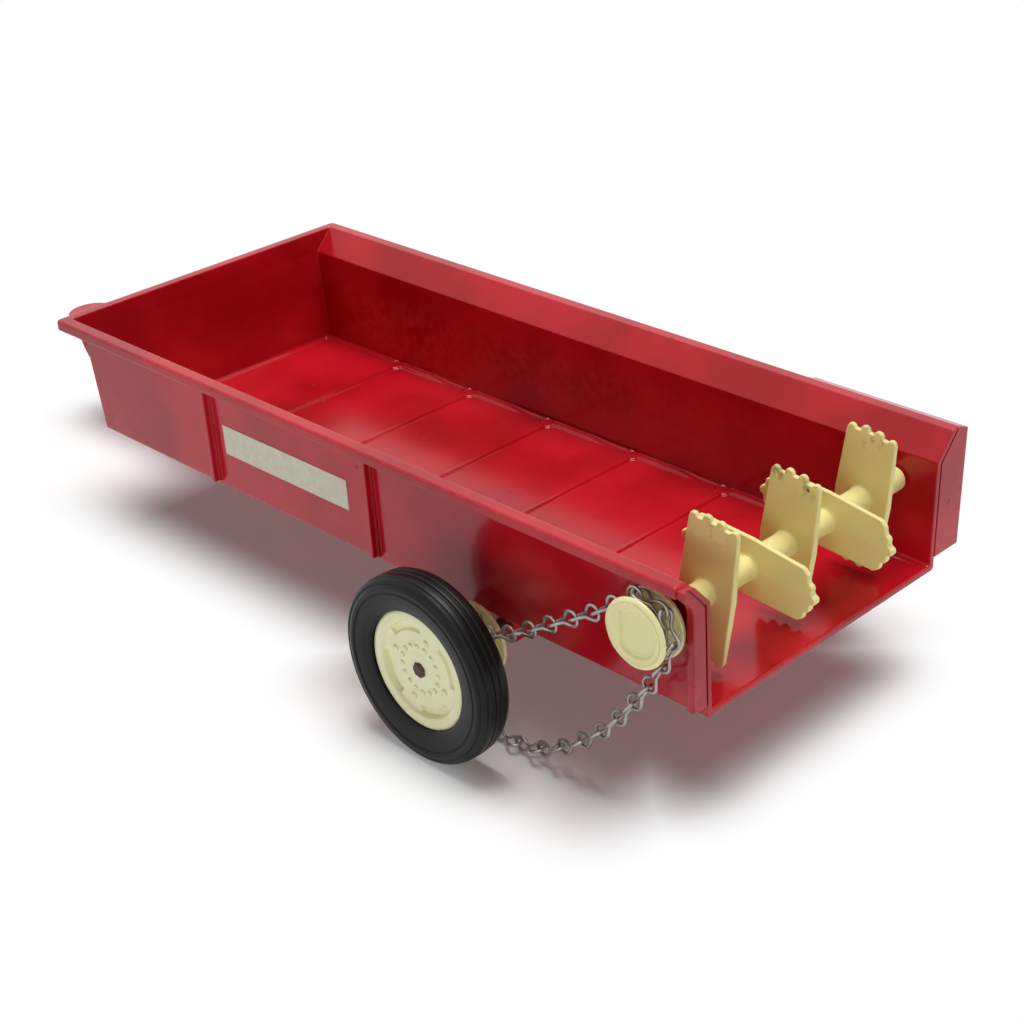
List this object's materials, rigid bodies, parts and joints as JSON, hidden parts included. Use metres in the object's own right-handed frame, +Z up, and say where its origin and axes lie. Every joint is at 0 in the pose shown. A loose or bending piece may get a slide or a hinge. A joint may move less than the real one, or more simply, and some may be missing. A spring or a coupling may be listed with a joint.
{
  "type": "toy manure spreader",
  "caption": "Die-cast toy farm spreader: open-ended flared box on two wheels, chain-driven rear beater with toothed blades, drawbar with hitch eye and skid.",
  "frame": {"origin": "on the floor below the middle of the toy, from the beater's teeth to the front of the hitch eye", "axes": "+X forward to the hitch eye, +Y to the left (chain side), +Z up"},
  "size_m": [0.3092, 0.1356, 0.0698],
  "materials": {
    "red_enamel": "glossy red enamel on zinc",
    "cream_plastic": "moulded cream plastic",
    "beater_plastic": "yellowed cream plastic",
    "tyre_rubber": "moulded black rubber",
    "chain_steel": "dull wire",
    "steel": "darkened steel",
    "label": "blank aged sticker"
  },
  "bodies": {
    "root": {"bed": "red_enamel", "drawbar": "red_enamel", "drawbar_rivets": "steel", "label_left": "label", "label_right": "label", "drive_chain": "chain_steel"},
    "wheelset": {"axle": "steel", "wheel_left": "cream_plastic", "wheel_right": "cream_plastic", "tyre_left": "tyre_rubber", "tyre_right": "tyre_rubber", "drive_pulley": "cream_plastic"},
    "beater_shaft": {"beater": "beater_plastic", "beater_pulley": "beater_plastic"}
  },
  "joints": [
    {"name": "wheels_roll", "type": "hinge", "parent": "root", "child": "wheelset", "pos_m": [-0.07921, 0, 0.024], "axis": [0, 1, 0], "continuous": true},
    {"name": "beater_spin", "type": "hinge", "parent": "root", "child": "beater_shaft", "pos_m": [-0.13561, 0, 0.051], "axis": [0, 1, 0], "continuous": true}
  ],
  "couplings": [
    {"joint": "beater_spin", "follows": "wheels_roll", "ratio": 1.0769}
  ]
}
